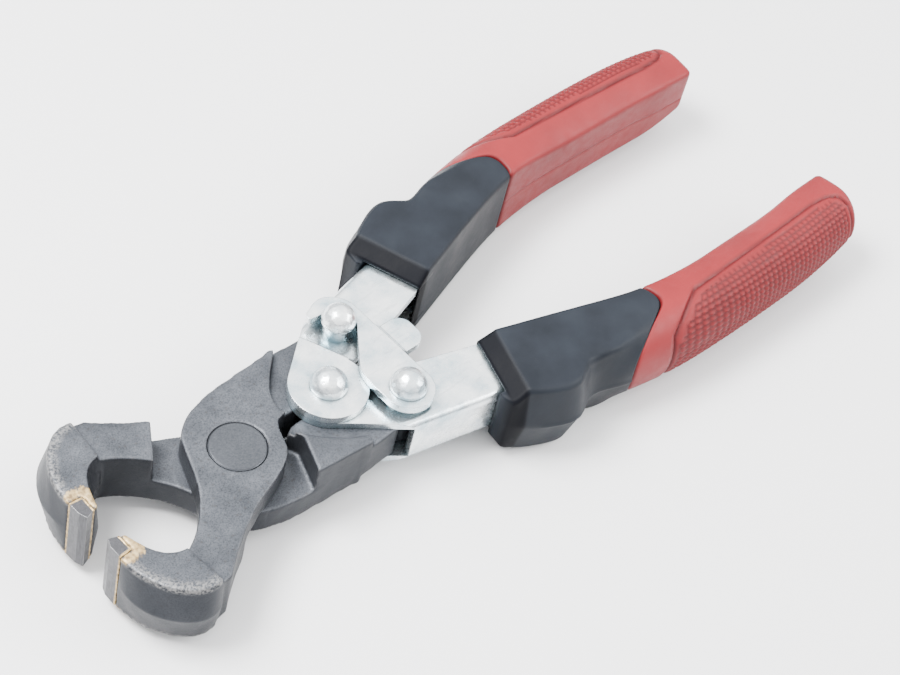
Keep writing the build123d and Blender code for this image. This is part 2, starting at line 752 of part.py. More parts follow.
export_step(lower_grip_inlay.part, "parts/lower_grip_inlay.step")
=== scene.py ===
"""Looks for the compound tile nippers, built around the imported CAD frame."""

import json
import math

import bpy
from mathutils import Matrix, Vector


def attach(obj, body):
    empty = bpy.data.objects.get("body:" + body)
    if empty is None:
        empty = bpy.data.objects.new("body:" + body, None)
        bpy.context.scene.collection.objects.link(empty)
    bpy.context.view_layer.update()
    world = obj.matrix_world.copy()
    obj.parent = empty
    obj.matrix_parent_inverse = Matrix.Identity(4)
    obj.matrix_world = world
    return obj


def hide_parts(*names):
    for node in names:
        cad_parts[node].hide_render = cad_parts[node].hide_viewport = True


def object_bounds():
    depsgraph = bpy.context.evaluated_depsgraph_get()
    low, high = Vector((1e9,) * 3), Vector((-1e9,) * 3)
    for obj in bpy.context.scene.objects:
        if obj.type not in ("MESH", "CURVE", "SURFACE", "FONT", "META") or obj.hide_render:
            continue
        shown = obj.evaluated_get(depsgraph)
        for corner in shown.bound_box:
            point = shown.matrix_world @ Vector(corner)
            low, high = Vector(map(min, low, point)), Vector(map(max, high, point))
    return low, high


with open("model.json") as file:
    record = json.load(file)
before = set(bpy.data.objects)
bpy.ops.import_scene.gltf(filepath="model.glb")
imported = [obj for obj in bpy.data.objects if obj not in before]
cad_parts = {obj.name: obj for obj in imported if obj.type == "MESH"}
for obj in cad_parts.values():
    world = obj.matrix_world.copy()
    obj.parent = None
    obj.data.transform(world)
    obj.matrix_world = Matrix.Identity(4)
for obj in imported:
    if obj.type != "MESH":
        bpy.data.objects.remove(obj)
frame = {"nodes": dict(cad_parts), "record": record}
CAD_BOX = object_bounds()
MM = 0.001
joints = {joint["name"]: joint for joint in frame["record"]["behaviour"]["joints"]}
PIVOT = Vector(joints["jaw_pivot"]["pos_m"])

# ---------------------------------------------------------------- camera, floor and light

CAMERA_AIM = Vector((69.275, -1.621, 0.0)) * MM
CAMERA_DISTANCE = 0.5505
CAMERA_AZIMUTH = math.radians(-55.86)
CAMERA_PITCH = math.radians(48.16)
CAMERA_ROLL = math.radians(15.55)
CAMERA_LENS = 88.5
SENSOR_WIDTH = 36.0
FLOOR_HALF = 3.0
FLOOR_DROP = 0.0002
SKY_STRENGTH = 3.6
HORIZON = (0.12, 0.13, 0.15, 1)
ZENITH = (1, 1, 1, 1)
KEY_WATTS = 30.0
FILL_WATTS = 9.0


def make_camera():
    """The photograph's viewing angle: from the left, above, rolled a little."""
    away = Vector(
        (
            math.sin(CAMERA_AZIMUTH) * math.cos(CAMERA_PITCH),
            -math.cos(CAMERA_AZIMUTH) * math.cos(CAMERA_PITCH),
            math.sin(CAMERA_PITCH),
        )
    )
    right = Vector((math.cos(CAMERA_AZIMUTH), math.sin(CAMERA_AZIMUTH), 0.0))
    up = away.cross(right)
    rolled_right = right * math.cos(CAMERA_ROLL) + up * math.sin(CAMERA_ROLL)
    rolled_up = up * math.cos(CAMERA_ROLL) - right * math.sin(CAMERA_ROLL)
    place = PIVOT + CAMERA_AIM + away * CAMERA_DISTANCE
    data = bpy.data.cameras.new("camera")
    data.lens = CAMERA_LENS
    data.sensor_width = SENSOR_WIDTH
    camera = bpy.data.objects.new("camera", data)
    bpy.context.scene.collection.objects.link(camera)
    turn = Matrix((rolled_right, rolled_up, away)).transposed()
    camera.matrix_world = Matrix.Translation(place) @ turn.to_4x4()
    bpy.context.scene.camera = camera


def make_floor():
    """A wide light-grey sheet just under the tool."""
    mesh = bpy.data.meshes.new("floor")
    corners = [(x * FLOOR_HALF, y * FLOOR_HALF, 0) for x, y in ((-1, -1), (1, -1), (1, 1), (-1, 1))]
    mesh.from_pydata(corners, [], [(0, 1, 2, 3)])
    floor = bpy.data.objects.new("floor", mesh)
    bpy.context.scene.collection.objects.link(floor)
    floor.location.z = CAD_BOX[0].z - FLOOR_DROP
    material = bpy.data.materials.new("floor")
    material.use_nodes = True
    shader = material.node_tree.nodes["Principled BSDF"]
    shader.inputs["Base Color"].default_value = (0.64, 0.64, 0.645, 1)
    shader.inputs["Roughness"].default_value = 0.6
    mesh.materials.append(material)


def area_light(name, place, size, watts):
    """A rectangular lamp at a place, aimed at the tool's origin."""
    data = bpy.data.lights.new(name, "AREA")
    data.shape = "RECTANGLE"
    data.size = size[0]
    data.size_y = size[1]
    data.energy = watts
    light = bpy.data.objects.new(name, data)
    bpy.context.scene.collection.objects.link(light)
    light.location = place
    light.rotation_euler = (-Vector(place)).to_track_quat("-Z", "Y").to_euler()


def make_light():
    """A white sky that darkens towards the horizon, a key lamp at the jaws and a weak fill."""
    world = bpy.data.worlds.new("studio")
    bpy.context.scene.world = world
    world.use_nodes = True
    backdrop = world.node_tree.nodes["Background"]
    direction = world.node_tree.nodes.new("ShaderNodeTexCoord").outputs["Generated"]
    split = world.node_tree.nodes.new("ShaderNodeSeparateXYZ")
    ramp = world.node_tree.nodes.new("ShaderNodeValToRGB")
    ramp.color_ramp.elements[0].position = 0.05
    ramp.color_ramp.elements[0].color = HORIZON
    ramp.color_ramp.elements[1].position = 0.75
    ramp.color_ramp.elements[1].color = ZENITH
    world.node_tree.links.new(direction, split.inputs[0])
    world.node_tree.links.new(split.outputs[2], ramp.inputs["Fac"])
    world.node_tree.links.new(ramp.outputs["Color"], backdrop.inputs["Color"])
    backdrop.inputs["Strength"].default_value = SKY_STRENGTH
    area_light("key", (-0.35, 0.30, 0.75), (0.45, 0.35), KEY_WATTS)
    area_light("fill", (0.5, -0.5, 0.5), (0.6, 0.4), FILL_WATTS)


# ---------------------------------------------------------------- materials


class Look:
    """A material being built: its node tree and its main shader."""

    def __init__(self, name, colour, metallic, roughness):
        self.material = bpy.data.materials.new(name)
        self.material.use_nodes = True
        self.tree = self.material.node_tree
        self.shader = self.tree.nodes["Principled BSDF"]
        self.shader.inputs["Base Color"].default_value = (*colour, 1)
        self.shader.inputs["Metallic"].default_value = metallic
        self.shader.inputs["Roughness"].default_value = roughness
        self.place = self.tree.nodes.new("ShaderNodeTexCoord").outputs["Object"]

    def node(self, kind, **values):
        """A new node of the material, with some of its settings."""
        made = self.tree.nodes.new(kind)
        for key, value in values.items():
            setattr(made, key, value)
        return made

    def link(self, start, end):
        self.tree.links.new(start, end)

    def noise(self, size_mm, detail=3.0, rough=0.55, stretch=(1, 1, 1)):
        """A grey noise whose blotches are about size_mm across."""
        mapping = self.node("ShaderNodeMapping")
        mapping.inputs["Scale"].default_value = stretch
        self.link(self.place, mapping.inputs["Vector"])
        noise = self.node("ShaderNodeTexNoise")
        noise.inputs["Scale"].default_value = 1.0 / (size_mm * MM)
        noise.inputs["Detail"].default_value = detail
        noise.inputs["Roughness"].default_value = rough
        self.link(mapping.outputs["Vector"], noise.inputs["Vector"])
        return noise.outputs["Fac"]

    def spots(self, size_mm):
        """Rounded spots about size_mm apart, dark at their middles."""
        cells = self.node("ShaderNodeTexVoronoi")
        cells.inputs["Scale"].default_value = 1.0 / (size_mm * MM)
        self.link(self.place, cells.inputs["Vector"])
        return cells.outputs["Distance"]

    def ramp(self, value, *stops):
        """Colours against a value: each stop is (position, colour)."""
        ramp = self.node("ShaderNodeValToRGB")
        elements = ramp.color_ramp.elements
        while len(elements) < len(stops):
            elements.new(0.5)
        for element, (position, colour) in zip(elements, stops):
            element.position = position
            element.color = (*colour, 1)
        self.link(value, ramp.inputs["Fac"])
        return ramp.outputs["Color"]

    def span(self, value, low, high, out_low=0.0, out_high=1.0):
        """The value stretched from low..high to out_low..out_high, held at both ends."""
        stretch = self.node("ShaderNodeMapRange")
        stretch.clamp = True
        for name, number in zip(("From Min", "From Max", "To Min", "To Max"), (low, high, out_low, out_high)):
            stretch.inputs[name].default_value = number
        self.link(value, stretch.inputs["Value"])
        return stretch.outputs["Result"]

    def mix(self, fac, a, b, mode="MIX"):
        """Colour a, with colour b laid over it by fac. Either colour may be a tuple."""
        mixer = self.node("ShaderNodeMix", data_type="RGBA", blend_type=mode)
        for index, colour in ((6, a), (7, b)):
            if isinstance(colour, tuple):
                mixer.inputs[index].default_value = (*colour, 1)
            else:
                self.link(colour, mixer.inputs[index])
        if isinstance(fac, float):
            mixer.inputs[0].default_value = fac
        else:
            self.link(fac, mixer.inputs[0])
        return mixer.outputs[2]

    def maths(self, operation, a, b):
        """Two values put together. The second may be a number."""
        result = self.node("ShaderNodeMath", operation=operation)
        self.link(a, result.inputs[0])
        if isinstance(b, float):
            result.inputs[1].default_value = b
        else:
            self.link(b, result.inputs[1])
        return result.outputs[0]

    def edges(self, radius_mm):
        """Rounded shading across sharp edges, and a mask that is 1 on them."""
        bevel = self.node("ShaderNodeBevel", samples=6)
        bevel.inputs["Radius"].default_value = radius_mm * MM
        plain = self.node("ShaderNodeNewGeometry").outputs["Normal"]
        turn = self.node("ShaderNodeVectorMath", operation="DOT_PRODUCT")
        self.link(bevel.outputs[0], turn.inputs[0])
        self.link(plain, turn.inputs[1])
        return bevel.outputs[0], self.span(turn.outputs["Value"], 0.995, 0.90)

    def attribute(self, name):
        """A number that the mesh keeps for each of its points."""
        return self.node("ShaderNodeAttribute", attribute_name=name).outputs["Fac"]

    def bump(self, height, distance_mm, strength=1.0, under=None):
        """The height as relief of distance_mm, on top of another normal if one is given."""
        bump = self.node("ShaderNodeBump")
        bump.inputs["Strength"].default_value = strength
        bump.inputs["Distance"].default_value = distance_mm * MM
        self.link(height, bump.inputs["Height"])
        if under is not None:
            self.link(under, bump.inputs["Normal"])
        return bump.outputs["Normal"]

    def specular(self, level):
        """How strongly the surface reflects light, as a value or a number."""
        socket = self.shader.inputs["Specular IOR Level"]
        if isinstance(level, float):
            socket.default_value = level
        else:
            self.link(level, socket)

    def finish(self, colour, roughness, normal):
        """The material, with its main values linked to its shader."""
        for value, name in ((colour, "Base Color"), (roughness, "Roughness"), (normal, "Normal")):
            self.link(value, self.shader.inputs[name])
        return self.material


def forged_look():
    """Satin blue-grey forged steel: fine speckle, soft blotches, painted shade on the sides, brighter rubbed
    edges.
    """
    look = Look("forged_steel_rounded", (0.3, 0.3, 0.32), 0.45, 0.42)
    side_shade = look.attribute("side_shade")
    # Painted shade on the jaw's sides: where the surface faces sideways it reflects less, and below it is
    # painted darker.
    look.specular(look.span(side_shade, 0.0, 1.0, 0.3, 0.1))
    blotch = look.noise(9.0, 4.0)
    grain = look.noise(0.35, 4.0, 0.7)
    base = look.ramp(blotch, (0.3, (0.036, 0.040, 0.047)), (0.7, (0.070, 0.076, 0.087)))
    speckle = look.ramp(
        grain, (0.36, (0.35, 0.36, 0.38)), (0.5, (0.95, 0.95, 0.96)), (0.66, (1.35, 1.33, 1.3))
    )
    colour = look.mix(0.75, base, speckle, "MULTIPLY")
    pits = look.span(look.spots(1.7), 0.10, 0.26, 1.0, 0.0)
    colour = look.mix(look.maths("MULTIPLY", pits, 0.5), colour, (0.03, 0.028, 0.028))
    # Painted shade: the sideways-facing surfaces painted darker.
    colour = look.mix(look.maths("MULTIPLY", side_shade, 0.75), colour, (0.016, 0.017, 0.020))
    normal, rubbed = look.edges(0.7)
    worn = look.maths("MULTIPLY", rubbed, look.span(look.noise(1.3), 0.38, 0.6, 0.15, 0.9))
    colour = look.mix(worn, colour, (0.17, 0.17, 0.175))
    rough_lip = look.maths("MULTIPLY", look.attribute("lip"), look.span(look.noise(0.7), 0.40, 0.60))
    colour = look.mix(look.maths("MULTIPLY", rough_lip, 0.6), colour, (0.22, 0.215, 0.21))
    patches = look.noise(1.0, 4.0)
    alloy = look.ramp(
        patches, (0.35, (0.15, 0.10, 0.05)), (0.5, (0.32, 0.225, 0.105)), (0.66, (0.45, 0.34, 0.18))
    )
    colour = look.mix(look.attribute("film"), colour, alloy)
    roughness = look.span(grain, 0.3, 0.7, 0.34, 0.52)
    relief = look.maths("ADD", look.maths("MULTIPLY", grain, 0.5), look.noise(2.2, 2.0))
    return look.finish(colour, roughness, look.bump(relief, 0.10, 0.55, normal))


def pin_look():
    """The ground head of the jaw pin: circular polishing marks about its axis."""
    look = Look("ground_pin", (0.4, 0.41, 0.43), 0.8, 0.35)
    shift = look.node("ShaderNodeVectorMath", operation="SUBTRACT")
    look.link(look.place, shift.inputs[0])
    shift.inputs[1].default_value = PIVOT
    rings = look.node("ShaderNodeTexWave", wave_type="RINGS", rings_direction="Z")
    rings.inputs["Scale"].default_value = 1300
    rings.inputs["Distortion"].default_value = 3.0
    rings.inputs["Detail"].default_value = 2.0
    look.link(shift.outputs[0], rings.inputs["Vector"])
    grain = look.noise(0.4, 4.0, 0.7)
    colour = look.ramp(grain, (0.3, (0.036, 0.040, 0.047)), (0.7, (0.070, 0.075, 0.084)))
    normal, rubbed = look.edges(0.35)
    colour = look.mix(look.maths("MULTIPLY", rubbed, 0.7), colour, (0.03, 0.03, 0.035))
    roughness = look.span(rings.outputs["Fac"], 0.0, 1.0, 0.32, 0.5)
    return look.finish(colour, roughness, look.bump(rings.outputs["Fac"], 0.03, 0.4, normal))


def carbide_look():
    """Ground tungsten carbide: dark, with fine grinding lines across the tip and a bright chipped edge."""
    look = Look("ground_carbide", (0.2, 0.2, 0.21), 0.7, 0.38)
    lines = look.noise(0.25, 3.0, 0.6, (1, 1, 0.06))
    colour = look.ramp(lines, (0.3, (0.035, 0.035, 0.038)), (0.7, (0.075, 0.075, 0.082)))
    normal, rubbed = look.edges(0.25)
    colour = look.mix(look.maths("MULTIPLY", rubbed, 0.55), colour, (0.3, 0.3, 0.3))
    roughness = look.span(look.noise(1.0), 0.3, 0.7, 0.3, 0.48)
    return look.finish(colour, roughness, look.bump(lines, 0.03, 0.4, normal))


def braze_look():
    """Dull tan braze alloy, darker where the flux burnt."""
    look = Look("braze_alloy", (0.55, 0.44, 0.27), 0.65, 0.42)
    blotch = look.noise(1.1, 4.0)
    colour = look.ramp(
        blotch, (0.33, (0.14, 0.10, 0.05)), (0.5, (0.36, 0.25, 0.115)), (0.68, (0.50, 0.37, 0.19))
    )
    roughness = look.span(blotch, 0.3, 0.7, 0.55, 0.35)
    return look.finish(colour, roughness, look.bump(look.noise(0.6), 0.12, 0.7))


def zinc_look(name, shade_edges, hammered=False):
    """Zinc plating: near white, faintly blue, with soft spangle, rolling marks and scuffs, painted shade in
    nooks and between parts, and edges painted dark as shade on the sheets and white as a highlight on the
    rivet heads.
    """
    look = Look(name, (0.8, 0.83, 0.85), 0.9, 0.3)
    cloud = look.noise(7.0, 3.0)
    fine = look.noise(0.5, 3.0, 0.65)
    base = look.ramp(
        cloud, (0.30, (0.42, 0.53, 0.58)), (0.5, (0.70, 0.75, 0.77)), (0.7, (0.90, 0.92, 0.91))
    )
    speckle = look.ramp(fine, (0.3, (0.80, 0.82, 0.85)), (0.6, (1.0, 1.0, 1.0)))
    colour = look.mix(0.8, base, speckle, "MULTIPLY")
    scuffs = look.noise(0.9, 2.0, 0.5, (0.12, 1, 1))
    colour = look.mix(look.span(scuffs, 0.60, 0.68, 0.0, 0.35), colour, (0.45, 0.47, 0.5))
    normal, rubbed = look.edges(0.3)
    # Painted edge tone: dark painted shade along the sheet edges, between the plates, and a white painted
    # highlight along the rivet heads' edges.
    painted_edge_tone = (0.30, 0.31, 0.33) if shade_edges else (0.92, 0.92, 0.92)
    colour = look.mix(look.maths("MULTIPLY", rubbed, 0.5), colour, painted_edge_tone)
    # Painted shade: ambient occlusion darkens the colour in nooks, under parts and between them.
    nook_shade = look.node("ShaderNodeAmbientOcclusion", samples=8)
    nook_shade.inputs["Distance"].default_value = 5.0 * MM
    colour = look.mix(look.span(nook_shade.outputs["AO"], 0.80, 0.30, 0.0, 0.85), colour, (0.10, 0.16, 0.18))
    roughness = look.span(look.noise(2.5), 0.3, 0.7, 0.17, 0.34)
    if hammered:
        dents = look.bump(look.spots(1.5), 0.22, 0.55, normal)
        return look.finish(colour, roughness, look.bump(fine, 0.03, 0.5, dents))
    waves = look.bump(look.noise(4.0, 2.0), 0.16, 0.5, normal)
    return look.finish(colour, roughness, look.bump(fine, 0.025, 0.5, waves))


def spring_look():
    """Oiled dark spring wire with drawing marks."""
    look = Look("spring_wire", (0.12, 0.12, 0.13), 0.85, 0.35)
    marks = look.noise(0.5, 3.0)
    colour = look.ramp(marks, (0.3, (0.07, 0.07, 0.075)), (0.7, (0.2, 0.2, 0.2)))
    return look.finish(colour, look.span(marks, 0.3, 0.7, 0.28, 0.45), look.bump(marks, 0.03, 0.4))


def collar_look():
    """Satin black rubber: bluish bloom, fine moulded grain, greyer rubbed edges, grey dust specks, and
    painted shade with less reflection in the mouth's bevel and the crease at the joint.
    """
    look = Look("black_collar", (0.02, 0.022, 0.027), 0.0, 0.45)
    bloom = look.noise(11.0, 4.0)
    grain = look.noise(0.28, 3.0, 0.6)
    colour = look.ramp(bloom, (0.3, (0.004, 0.0055, 0.0085)), (0.7, (0.009, 0.0115, 0.016)))
    normal, rubbed = look.edges(0.8)
    worn = look.maths("MULTIPLY", rubbed, look.span(look.noise(1.8), 0.4, 0.65, 0.1, 0.7))
    colour = look.mix(worn, colour, (0.024, 0.026, 0.031))
    depth = look.attribute("depth")
    # Painted shade from the mesh's depth values, in the mouth's bevel and the joint's crease: less reflection
    # here and a near-black colour below.
    look.specular(look.span(depth, 0.0, 1.0, 0.15, 0.03))
    dust = look.span(look.noise(0.8, 5.0, 0.7), 0.64, 0.74, 0.0, 0.25)
    colour = look.mix(dust, colour, (0.03, 0.03, 0.03))
    # Painted shade in the bevel and the joint's crease.
    colour = look.mix(depth, colour, (0.002, 0.002, 0.003))
    relief = look.maths("ADD", look.maths("MULTIPLY", grain, 0.4), look.noise(3.5, 2.0))
    roughness = look.span(bloom, 0.3, 0.7, 0.44, 0.58)
    return look.finish(colour, roughness, look.bump(relief, 0.12, 0.45, normal))


def red_look(name, tint, low, high):
    """Muted red moulding: painted shade in its grooves, darker and paler clouds at random, pale bloom specks,
    with a fine satin grain.
    """
    look = Look(name, tint, 0.0, 0.5)
    cloud = look.noise(14.0, 4.0)
    grain = look.noise(0.22, 3.0, 0.6)
    dark = tuple(0.86 * part for part in tint)
    light = tuple(1.10 * part for part in tint)
    colour = look.ramp(cloud, (0.3, dark), (0.7, light))
    # Painted shade from the mesh's depth values: the grooves, the cells' hollows, the seam and the joint
    # painted darker red.
    depth = look.attribute("depth")
    colour = look.mix(look.maths("MULTIPLY", depth, 0.85), colour, (0.040, 0.002, 0.003))
    bloom = look.span(look.noise(1.0, 4.0, 0.7), 0.56, 0.72, 0.0, 0.10)
    colour = look.mix(bloom, colour, (0.20, 0.045, 0.045))
    look.specular(0.22)
    roughness = look.span(look.noise(3.0), 0.3, 0.7, low, high)
    return look.finish(colour, roughness, look.bump(grain, 0.045, 0.5))


FORGED = forged_look()
PIN = pin_look()
CARBIDE = carbide_look()
BRAZE = braze_look()
ZINC = zinc_look("zinc_sheet", True)
ZINC_RIVET = zinc_look("zinc_rivet_head", False, hammered=True)
SPRING = spring_look()
COLLAR = collar_look()
SHELL = red_look("red_shell", (0.158, 0.0098, 0.0120), 0.42, 0.56)
INLAY = red_look("red_soft_inlay", (0.142, 0.0084, 0.0104), 0.50, 0.64)

NODE_LOOKS = {
    "front_carbide_tip": CARBIDE,
    "back_carbide_tip": CARBIDE,
    "jaw_pivot_pin": PIN,
    "upper_handle_channel": ZINC,
    "lower_handle_channel": ZINC,
    "latch_plate": ZINC,
    "latch_spacer": ZINC,
    "pivot_bush": SPRING,
    "handle_pivot_rivet": ZINC_RIVET,
    "upper_link_rivet": ZINC_RIVET,
    "lower_link_rivet": ZINC_RIVET,
}


def dress(mesh, material):
    """Give a mesh one material."""
    mesh.materials.clear()
    mesh.materials.append(material)


def dress_nodes():
    """Give every CAD node that is carried over its material."""
    for name, material in NODE_LOOKS.items():
        dress(frame["nodes"][name].data, material)


# ---------------------------------------------------------------- mesh helpers


def at(x, y, z):
    """A point measured in millimetres from the jaw pivot, in the shared frame."""
    return PIVOT + Vector((x, y, z)) * MM


def clamped(value, low, high):
    """How far the value is from low to high, as a share held between 0 and 1."""
    return min(1.0, max(0.0, (value - low) / (high - low)))


def eased(value, low, high):
    """0 below low, 1 above high, and smooth between them."""
    t = clamped(value, low, high)
    return t * t * (3 - 2 * t)


def bell(value, width):
    """1 where the value is 0, fading smoothly to nothing over about two widths."""
    return math.exp(-((value / width) ** 2))


def oval_spread(x, y, middle, halves):
    """0 at an ellipse's middle, 1 on its outline and more outside it."""
    return ((x - middle[0]) / halves[0]) ** 2 + ((y - middle[1]) / halves[1]) ** 2


def line_distance(x, y, start, end):
    """How far a point is from the straight line between two others."""
    (x0, y0), (x1, y1) = start, end
    run = (x1 - x0) ** 2 + (y1 - y0) ** 2
    t = min(1.0, max(0.0, ((x - x0) * (x1 - x0) + (y - y0) * (y1 - y0)) / run))
    return math.hypot(x - x0 - t * (x1 - x0), y - y0 - t * (y1 - y0))


TABLE_STEP = 0.1


def smooth_table(points):
    """A function that follows a smooth curve through (x, y) points with rising x, level beyond its ends."""
    start = points[0][0]
    count = int((points[-1][0] - start) / TABLE_STEP) + 2
    values = [table_value(points, start + k * TABLE_STEP) for k in range(count)]

    def look_up(x):
        place = min(max((x - start) / TABLE_STEP, 0.0), count - 1.001)
        k = int(place)
        return values[k] + (values[k + 1] - values[k]) * (place - k)

    return look_up


def table_value(points, x):
    """The curve's value at x, by cubic pieces between the points."""
    if x <= points[0][0]:
        return points[0][1]
    if x >= points[-1][0]:
        return points[-1][1]
    i = max(k for k in range(len(points) - 1) if points[k][0] <= x)

    def slope(k):
        if k == 0 or k == len(points) - 1:
            other = 1 if k == 0 else k - 1
            return (points[other][1] - points[k][1]) / (points[other][0] - points[k][0])
        before = (points[k][1] - points[k - 1][1]) / (points[k][0] - points[k - 1][0])
        after = (points[k + 1][1] - points[k][1]) / (points[k + 1][0] - points[k][0])
        return 0.5 * (before + after)

    step = points[i + 1][0] - points[i][0]
    t = (x - points[i][0]) / step
    return (
        (2 * t**3 - 3 * t**2 + 1) * points[i][1]
        + (t**3 - 2 * t**2 + t) * step * slope(i)
        + (3 * t**2 - 2 * t**3) * points[i + 1][1]
        + (t**3 - t**2) * step * slope(i + 1)
    )


def store(mesh, name, values):
    """Keep one number for each point of a mesh, for its material to read."""
    layer = mesh.attributes.new(name, "FLOAT", "POINT")
    layer.data.foreach_set("value", values)


def stand_for(piece, material, node, body):
    """Shade a piece smoothly in one material and let it replace a CAD node."""
    piece.data.polygons.foreach_set("use_smooth", [True] * len(piece.data.polygons))
    dress(piece.data, material)
    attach(piece, body)
    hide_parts(node)


def mesh_piece(name, corners, faces, depth):
    """A piece made of the faces and of the corners that they use, with each corner's amount of painted shade
    as its depth.
    """
    used = sorted({index for face in faces for index in face})
    renumber = {old: new for new, old in enumerate(used)}
    mesh = bpy.data.meshes.new(name)
    mesh.from_pydata([corners[i] for i in used], [], [[renumber[i] for i in face] for face in faces])
    mesh.update()
    store(mesh, "depth", [depth[i] for i in used])
    piece = bpy.data.objects.new(name, mesh)
    bpy.context.scene.collection.objects.link(piece)
    return piece


def softened_copy(name, node, voxel_mm, rounds):
    """A copy of a CAD node with its edges rounded: remeshed in small voxels and smoothed."""
    piece = bpy.data.objects.new(name, frame["nodes"][node].data.copy())
    bpy.context.scene.collection.objects.link(piece)
    remesh = piece.modifiers.new("remesh", "REMESH")
    remesh.mode = "VOXEL"
    remesh.voxel_size = voxel_mm * MM
    soften = piece.modifiers.new("soften", "SMOOTH")
    soften.factor = 0.5
    soften.iterations = rounds
    bpy.context.view_layer.update()
    solid = bpy.data.meshes.new_from_object(piece.evaluated_get(bpy.context.evaluated_depsgraph_get()))
    piece.modifiers.clear()
    piece.data = solid
    return piece


def skin_faces(rows, ring, side):
    """Quads over rows of corners, ring corners to a row, facing outwards on either handle."""
    for row in range(rows - 1):
        for k in range(ring):
            a = row * ring + k
            b = row * ring + (k + 1) % ring
            yield [a, b, b + ring, a + ring] if side < 0 else [a, a + ring, b + ring, b]


# ---------------------------------------------------------------- shape of the grips and collars

# Outlines of the upper handle's covering seen from above, as (x, y) in millimetres from the jaw pivot.
OUTER_EDGE = [
    (61.2, 30.0), (65.0, 33.6), (69.5, 36.4), (77.5, 38.9), (85.5, 36.0), (96, 38.6), (115, 41.6),
    (135, 42.5), (160, 42.5), (172, 42.0), (180, 41.3), (188.8, 40.0),
]
INNER_EDGE = [
    (61.2, 8.3), (68.2, 10.4), (108, 22.2), (117, 23.9), (126, 24.5), (145, 24.6), (165, 24.4),
    (176, 23.7), (188.8, 23.5),
]
INLAY_EDGE = [
    (109.0, 46.0), (111.2, 39.2), (123.5, 33.0), (174.0, 31.2), (180.3, 31.7), (183.6, 33.4), (185.0, 36.4),
    (185.0, 46.0),
]
# The joint between the rubber and the grip, as (y, x).
JOINT = [(20.0, 112.5), (26.2, 114.2), (31.2, 112.3), (35.0, 105.0), (38.6, 98.0), (41.0, 96.5), (42.0, 96.5)]
JOINT_MIDDLE = 105.0
MIDDLE_Y = 32.6
outer_edge = smooth_table(OUTER_EDGE)
inner_edge = smooth_table(INNER_EDGE)
joint_edge = smooth_table(JOINT)

# The grip's section: a flat inner wall, a crown, and a quarter round to the outer mid-line.
HALF_DEEP = 12.3
WALL_HALF = 8.6
WALL_RISE_FRONT = 2.2
WALL_FRONT = (112.0, 138.0)
WALL_RISE_BACK = 0.9
WALL_BACK = (158.0, 180.0)
ROUND_HALF_WIDTH = 9.6
CROWN_SHARE = 0.46
CROWN_PLACE = 1.5
STRIP_LENGTH = 9.0
ROUNDED_PLACES = 1.35

# The grip's end.
GRIP_END = 188.8
END_ROUNDING = 3.4
END_DROP = 2.0
END_DROP_START = 166.0
TUCK = 0.72
TUCK_START = 158.0
TIP_Y = 31.6

# Relief of the red moulding, and the painted shade in its grooves, cells and seam.
CELL_LENGTH = 1.9
CELL_WIDTH = 1.6
CELL_LINES = (0.14, 0.36, 0.5, 0.64)
CELL_TOPS = (0.36, 0.5, 0.64)
CELL_DEPTH = 0.42
CELL_SHADE = 0.75
CELLS_ROUND = 11
CELLS_START = 2.0
CELLS_END = 76.5
END_RINGS = (83.2, 83.45, 83.62, 83.73, 83.78, 83.8)
MARGIN_STEP = 0.45
MARGIN_END = 83.0
INLAY_MARGIN = 1.9
GROOVE_DEPTH = 0.75
GROOVE_WIDTH = 0.55
GROOVE_SHADE_WIDTH = 0.6
SEAM_DEPTH = 0.30
SEAM_WIDTH = 0.22
SEAM_SHADE = 0.7
SEAM_REACH = 30.0
SETTLED = (3.0, 32.0)

# The collar: a box with leaning outer walls, a bevelled mouth and a lining that closes on the channel.
COLLAR_HALF = 11.4
MOUTH_HALF = 8.6
MOUTH_BEVEL = 4.6
MOUTH_CORNER = (68.2, 10.4)
MOUTH_SLOPE = 7.0 / 19.6
OUTER_LEAN = 2.9
BOX_PLACES = 6
LONG_SIDE = 18.0
SHORT_SIDE = 11.0
CORNER_BLEND = 0.9
LINING = ((7.0, 1.0), (0.15, 1.0), (0.0, 0.75))
LINK_X = 42.0
LINK_Y = 12.4
WEB_START_X = 40
WEB_START_Y = 20.2
WEB_SLOPE = 0.218
WEB_GAP = 0.35
OPEN_EDGE_SLOPE = 0.2962
OPEN_EDGE_OFFSET = 9.33
OPEN_EDGE_GAP = 0.25
LINING_SLOPE = 0.30
CHANNEL_HALF = 7.5
SIDE_STEPS = (12, 34, 22)
HOLLOW = ((86.0, 34.0), (3.4, 3.8))
HOLLOW_DEPTH = 1.0
DENT = ((92.0, 25.0), (7.0, 4.5))
DENT_DEPTH = 0.45
RIDGE_HEIGHT = 0.25
BEVEL_SHADE = 0.85

# Steps along the section, in millimetres, over which its corners are averaged.
SMOOTHING = (-1.0, -0.5, 0.0, 0.5, 1.0)


def tuck(x):
    """How much of its depth the grip's underside keeps: it rises towards the end."""
    return 1 - TUCK * clamped(x, TUCK_START, GRIP_END) ** 2


